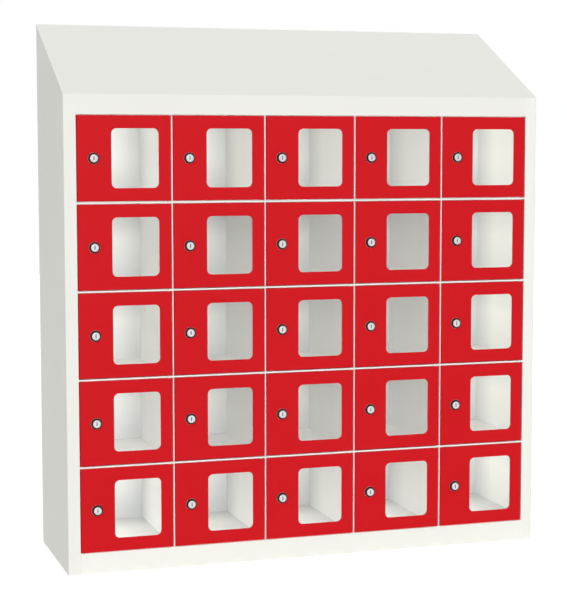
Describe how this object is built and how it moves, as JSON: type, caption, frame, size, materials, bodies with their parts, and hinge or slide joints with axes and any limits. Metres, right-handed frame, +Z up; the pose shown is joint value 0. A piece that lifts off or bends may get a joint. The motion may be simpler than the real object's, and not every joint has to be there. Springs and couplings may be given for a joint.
{
  "type": "phone locker",
  "caption": "Free-standing steel mini locker with a sloping roof and a grid of small red doors, each with a clear window, a hidden hinge and a cam lock.",
  "frame": {"origin": "on the floor, under the middle of the whole box of the part, the locks' rims included", "axes": "+Z up, +X to the right as seen from the front, +Y from the doors to the back"},
  "size_m": [0.79, 0.239, 0.862],
  "materials": {
    "carcass_paint": "off-white polyester powder coat, satin",
    "door_paint": "red polyester powder coat, satin",
    "lock_metal": "nickel-plated zinc die casting",
    "rod_steel": "bright drawn steel rod",
    "keeper_steel": "off-white polyester powder coat, satin",
    "window_clear": "clear polycarbonate sheet, 2 mm",
    "collar_black": "black chromate on zinc",
    "zinc_hardware": "bright zinc plate on steel",
    "nylon_bush": "moulded white nylon"
  },
  "bodies": {
    "carcass": {"side_panel_left": "carcass_paint", "side_panel_right": "carcass_paint", "base_plinth": "carcass_paint", "head_rail": "carcass_paint", "sloping_roof": "carcass_paint", "back_panel": "carcass_paint", "shelves": "carcass_paint", "partitions": "carcass_paint", "lock_keepers": "keeper_steel", "hinge_rods": "rod_steel"},
    "door_r1c1_body": {"door_r1c1": "door_paint"},
    "door_r1c2_body": {"door_r1c2": "door_paint"},
    "door_r1c3_body": {"door_r1c3": "door_paint"},
    "door_r1c4_body": {"door_r1c4": "door_paint"},
    "door_r1c5_body": {"door_r1c5": "door_paint"},
    "door_r2c1_body": {"door_r2c1": "door_paint"},
    "door_r2c2_body": {"door_r2c2": "door_paint"},
    "door_r2c3_body": {"door_r2c3": "door_paint"},
    "door_r2c4_body": {"door_r2c4": "door_paint"},
    "door_r2c5_body": {"door_r2c5": "door_paint"},
    "door_r3c1_body": {"door_r3c1": "door_paint"},
    "door_r3c2_body": {"door_r3c2": "door_paint"},
    "door_r3c3_body": {"door_r3c3": "door_paint"},
    "door_r3c4_body": {"door_r3c4": "door_paint"},
    "door_r3c5_body": {"door_r3c5": "door_paint"},
    "door_r4c1_body": {"door_r4c1": "door_paint"},
    "door_r4c2_body": {"door_r4c2": "door_paint"},
    "door_r4c3_body": {"door_r4c3": "door_paint"},
    "door_r4c4_body": {"door_r4c4": "door_paint"},
    "door_r4c5_body": {"door_r4c5": "door_paint"},
    "door_r5c1_body": {"door_r5c1": "door_paint"},
    "door_r5c2_body": {"door_r5c2": "door_paint"},
    "door_r5c3_body": {"door_r5c3": "door_paint"},
    "door_r5c4_body": {"door_r5c4": "door_paint"},
    "door_r5c5_body": {"door_r5c5": "door_paint"},
    "lock_r1c1_body": {"lock_r1c1": "lock_metal"},
    "lock_r1c2_body": {"lock_r1c2": "lock_metal"},
    "lock_r1c3_body": {"lock_r1c3": "lock_metal"},
    "lock_r1c4_body": {"lock_r1c4": "lock_metal"},
    "lock_r1c5_body": {"lock_r1c5": "lock_metal"},
    "lock_r2c1_body": {"lock_r2c1": "lock_metal"},
    "lock_r2c2_body": {"lock_r2c2": "lock_metal"},
    "lock_r2c3_body": {"lock_r2c3": "lock_metal"},
    "lock_r2c4_body": {"lock_r2c4": "lock_metal"},
    "lock_r2c5_body": {"lock_r2c5": "lock_metal"},
    "lock_r3c1_body": {"lock_r3c1": "lock_metal"},
    "lock_r3c2_body": {"lock_r3c2": "lock_metal"},
    "lock_r3c3_body": {"lock_r3c3": "lock_metal"},
    "lock_r3c4_body": {"lock_r3c4": "lock_metal"},
    "lock_r3c5_body": {"lock_r3c5": "lock_metal"},
    "lock_r4c1_body": {"lock_r4c1": "lock_metal"},
    "lock_r4c2_body": {"lock_r4c2": "lock_metal"},
    "lock_r4c3_body": {"lock_r4c3": "lock_metal"},
    "lock_r4c4_body": {"lock_r4c4": "lock_metal"},
    "lock_r4c5_body": {"lock_r4c5": "lock_metal"},
    "lock_r5c1_body": {"lock_r5c1": "lock_metal"},
    "lock_r5c2_body": {"lock_r5c2": "lock_metal"},
    "lock_r5c3_body": {"lock_r5c3": "lock_metal"},
    "lock_r5c4_body": {"lock_r5c4": "lock_metal"},
    "lock_r5c5_body": {"lock_r5c5": "lock_metal"}
  },
  "joints": [
    {"name": "door_r1c1_swing", "type": "hinge", "parent": "carcass", "child": "door_r1c1_body", "pos_m": [-0.23193, -0.1119, 0.6444], "axis": [0, 0, 1], "range_deg": [0, 110]},
    {"name": "door_r1c2_swing", "type": "hinge", "parent": "carcass", "child": "door_r1c2_body", "pos_m": [-0.08141, -0.1119, 0.6444], "axis": [0, 0, 1], "range_deg": [0, 110]},
    {"name": "door_r1c3_swing", "type": "hinge", "parent": "carcass", "child": "door_r1c3_body", "pos_m": [0.06911, -0.1119, 0.6444], "axis": [0, 0, 1], "range_deg": [0, 110]},
    {"name": "door_r1c4_swing", "type": "hinge", "parent": "carcass", "child": "door_r1c4_body", "pos_m": [0.21963, -0.1119, 0.6444], "axis": [0, 0, 1], "range_deg": [0, 110]},
    {"name": "door_r1c5_swing", "type": "hinge", "parent": "carcass", "child": "door_r1c5_body", "pos_m": [0.37015, -0.1119, 0.6444], "axis": [0, 0, 1], "range_deg": [0, 110]},
    {"name": "door_r2c1_swing", "type": "hinge", "parent": "carcass", "child": "door_r2c1_body", "pos_m": [-0.23193, -0.1119, 0.5082], "axis": [0, 0, 1], "range_deg": [0, 110]},
    {"name": "door_r2c2_swing", "type": "hinge", "parent": "carcass", "child": "door_r2c2_body", "pos_m": [-0.08141, -0.1119, 0.5082], "axis": [0, 0, 1], "range_deg": [0, 110]},
    {"name": "door_r2c3_swing", "type": "hinge", "parent": "carcass", "child": "door_r2c3_body", "pos_m": [0.06911, -0.1119, 0.5082], "axis": [0, 0, 1], "range_deg": [0, 110]},
    {"name": "door_r2c4_swing", "type": "hinge", "parent": "carcass", "child": "door_r2c4_body", "pos_m": [0.21963, -0.1119, 0.5082], "axis": [0, 0, 1], "range_deg": [0, 110]},
    {"name": "door_r2c5_swing", "type": "hinge", "parent": "carcass", "child": "door_r2c5_body", "pos_m": [0.37015, -0.1119, 0.5082], "axis": [0, 0, 1], "range_deg": [0, 110]},
    {"name": "door_r3c1_swing", "type": "hinge", "parent": "carcass", "child": "door_r3c1_body", "pos_m": [-0.23193, -0.1119, 0.372], "axis": [0, 0, 1], "range_deg": [0, 110]},
    {"name": "door_r3c2_swing", "type": "hinge", "parent": "carcass", "child": "door_r3c2_body", "pos_m": [-0.08141, -0.1119, 0.372], "axis": [0, 0, 1], "range_deg": [0, 110]},
    {"name": "door_r3c3_swing", "type": "hinge", "parent": "carcass", "child": "door_r3c3_body", "pos_m": [0.06911, -0.1119, 0.372], "axis": [0, 0, 1], "range_deg": [0, 110]},
    {"name": "door_r3c4_swing", "type": "hinge", "parent": "carcass", "child": "door_r3c4_body", "pos_m": [0.21963, -0.1119, 0.372], "axis": [0, 0, 1], "range_deg": [0, 110]},
    {"name": "door_r3c5_swing", "type": "hinge", "parent": "carcass", "child": "door_r3c5_body", "pos_m": [0.37015, -0.1119, 0.372], "axis": [0, 0, 1], "range_deg": [0, 110]},
    {"name": "door_r4c1_swing", "type": "hinge", "parent": "carcass", "child": "door_r4c1_body", "pos_m": [-0.23193, -0.1119, 0.2358], "axis": [0, 0, 1], "range_deg": [0, 110]},
    {"name": "door_r4c2_swing", "type": "hinge", "parent": "carcass", "child": "door_r4c2_body", "pos_m": [-0.08141, -0.1119, 0.2358], "axis": [0, 0, 1], "range_deg": [0, 110]},
    {"name": "door_r4c3_swing", "type": "hinge", "parent": "carcass", "child": "door_r4c3_body", "pos_m": [0.06911, -0.1119, 0.2358], "axis": [0, 0, 1], "range_deg": [0, 110]},
    {"name": "door_r4c4_swing", "type": "hinge", "parent": "carcass", "child": "door_r4c4_body", "pos_m": [0.21963, -0.1119, 0.2358], "axis": [0, 0, 1], "range_deg": [0, 110]},
    {"name": "door_r4c5_swing", "type": "hinge", "parent": "carcass", "child": "door_r4c5_body", "pos_m": [0.37015, -0.1119, 0.2358], "axis": [0, 0, 1], "range_deg": [0, 110]},
    {"name": "door_r5c1_swing", "type": "hinge", "parent": "carcass", "child": "door_r5c1_body", "pos_m": [-0.23193, -0.1119, 0.0996], "axis": [0, 0, 1], "range_deg": [0, 110]},
    {"name": "door_r5c2_swing", "type": "hinge", "parent": "carcass", "child": "door_r5c2_body", "pos_m": [-0.08141, -0.1119, 0.0996], "axis": [0, 0, 1], "range_deg": [0, 110]},
    {"name": "door_r5c3_swing", "type": "hinge", "parent": "carcass", "child": "door_r5c3_body", "pos_m": [0.06911, -0.1119, 0.0996], "axis": [0, 0, 1], "range_deg": [0, 110]},
    {"name": "door_r5c4_swing", "type": "hinge", "parent": "carcass", "child": "door_r5c4_body", "pos_m": [0.21963, -0.1119, 0.0996], "axis": [0, 0, 1], "range_deg": [0, 110]},
    {"name": "door_r5c5_swing", "type": "hinge", "parent": "carcass", "child": "door_r5c5_body", "pos_m": [0.37015, -0.1119, 0.0996], "axis": [0, 0, 1], "range_deg": [0, 110]},
    {"name": "lock_r1c1_turn", "type": "hinge", "parent": "door_r1c1_body", "child": "lock_r1c1_body", "pos_m": [-0.3487, -0.1105, 0.6444], "axis": [0, 1, 0], "range_deg": [0, 90]},
    {"name": "lock_r1c2_turn", "type": "hinge", "parent": "door_r1c2_body", "child": "lock_r1c2_body", "pos_m": [-0.19818, -0.1105, 0.6444], "axis": [0, 1, 0], "range_deg": [0, 90]},
    {"name": "lock_r1c3_turn", "type": "hinge", "parent": "door_r1c3_body", "child": "lock_r1c3_body", "pos_m": [-0.04766, -0.1105, 0.6444], "axis": [0, 1, 0], "range_deg": [0, 90]},
    {"name": "lock_r1c4_turn", "type": "hinge", "parent": "door_r1c4_body", "child": "lock_r1c4_body", "pos_m": [0.10286, -0.1105, 0.6444], "axis": [0, 1, 0], "range_deg": [0, 90]},
    {"name": "lock_r1c5_turn", "type": "hinge", "parent": "door_r1c5_body", "child": "lock_r1c5_body", "pos_m": [0.25338, -0.1105, 0.6444], "axis": [0, 1, 0], "range_deg": [0, 90]},
    {"name": "lock_r2c1_turn", "type": "hinge", "parent": "door_r2c1_body", "child": "lock_r2c1_body", "pos_m": [-0.3487, -0.1105, 0.5082], "axis": [0, 1, 0], "range_deg": [0, 90]},
    {"name": "lock_r2c2_turn", "type": "hinge", "parent": "door_r2c2_body", "child": "lock_r2c2_body", "pos_m": [-0.19818, -0.1105, 0.5082], "axis": [0, 1, 0], "range_deg": [0, 90]},
    {"name": "lock_r2c3_turn", "type": "hinge", "parent": "door_r2c3_body", "child": "lock_r2c3_body", "pos_m": [-0.04766, -0.1105, 0.5082], "axis": [0, 1, 0], "range_deg": [0, 90]},
    {"name": "lock_r2c4_turn", "type": "hinge", "parent": "door_r2c4_body", "child": "lock_r2c4_body", "pos_m": [0.10286, -0.1105, 0.5082], "axis": [0, 1, 0], "range_deg": [0, 90]},
    {"name": "lock_r2c5_turn", "type": "hinge", "parent": "door_r2c5_body", "child": "lock_r2c5_body", "pos_m": [0.25338, -0.1105, 0.5082], "axis": [0, 1, 0], "range_deg": [0, 90]},
    {"name": "lock_r3c1_turn", "type": "hinge", "parent": "door_r3c1_body", "child": "lock_r3c1_body", "pos_m": [-0.3487, -0.1105, 0.372], "axis": [0, 1, 0], "range_deg": [0, 90]},
    {"name": "lock_r3c2_turn", "type": "hinge", "parent": "door_r3c2_body", "child": "lock_r3c2_body", "pos_m": [-0.19818, -0.1105, 0.372], "axis": [0, 1, 0], "range_deg": [0, 90]},
    {"name": "lock_r3c3_turn", "type": "hinge", "parent": "door_r3c3_body", "child": "lock_r3c3_body", "pos_m": [-0.04766, -0.1105, 0.372], "axis": [0, 1, 0], "range_deg": [0, 90]},
    {"name": "lock_r3c4_turn", "type": "hinge", "parent": "door_r3c4_body", "child": "lock_r3c4_body", "pos_m": [0.10286, -0.1105, 0.372], "axis": [0, 1, 0], "range_deg": [0, 90]},
    {"name": "lock_r3c5_turn", "type": "hinge", "parent": "door_r3c5_body", "child": "lock_r3c5_body", "pos_m": [0.25338, -0.1105, 0.372], "axis": [0, 1, 0], "range_deg": [0, 90]},
    {"name": "lock_r4c1_turn", "type": "hinge", "parent": "door_r4c1_body", "child": "lock_r4c1_body", "pos_m": [-0.3487, -0.1105, 0.2358], "axis": [0, 1, 0], "range_deg": [0, 90]},
    {"name": "lock_r4c2_turn", "type": "hinge", "parent": "door_r4c2_body", "child": "lock_r4c2_body", "pos_m": [-0.19818, -0.1105, 0.2358], "axis": [0, 1, 0], "range_deg": [0, 90]},
    {"name": "lock_r4c3_turn", "type": "hinge", "parent": "door_r4c3_body", "child": "lock_r4c3_body", "pos_m": [-0.04766, -0.1105, 0.2358], "axis": [0, 1, 0], "range_deg": [0, 90]},
    {"name": "lock_r4c4_turn", "type": "hinge", "parent": "door_r4c4_body", "child": "lock_r4c4_body", "pos_m": [0.10286, -0.1105, 0.2358], "axis": [0, 1, 0], "range_deg": [0, 90]},
    {"name": "lock_r4c5_turn", "type": "hinge", "parent": "door_r4c5_body", "child": "lock_r4c5_body", "pos_m": [0.25338, -0.1105, 0.2358], "axis": [0, 1, 0], "range_deg": [0, 90]},
    {"name": "lock_r5c1_turn", "type": "hinge", "parent": "door_r5c1_body", "child": "lock_r5c1_body", "pos_m": [-0.3487, -0.1105, 0.0996], "axis": [0, 1, 0], "range_deg": [0, 90]},
    {"name": "lock_r5c2_turn", "type": "hinge", "parent": "door_r5c2_body", "child": "lock_r5c2_body", "pos_m": [-0.19818, -0.1105, 0.0996], "axis": [0, 1, 0], "range_deg": [0, 90]},
    {"name": "lock_r5c3_turn", "type": "hinge", "parent": "door_r5c3_body", "child": "lock_r5c3_body", "pos_m": [-0.04766, -0.1105, 0.0996], "axis": [0, 1, 0], "range_deg": [0, 90]},
    {"name": "lock_r5c4_turn", "type": "hinge", "parent": "door_r5c4_body", "child": "lock_r5c4_body", "pos_m": [0.10286, -0.1105, 0.0996], "axis": [0, 1, 0], "range_deg": [0, 90]},
    {"name": "lock_r5c5_turn", "type": "hinge", "parent": "door_r5c5_body", "child": "lock_r5c5_body", "pos_m": [0.25338, -0.1105, 0.0996], "axis": [0, 1, 0], "range_deg": [0, 90]}
  ]
}
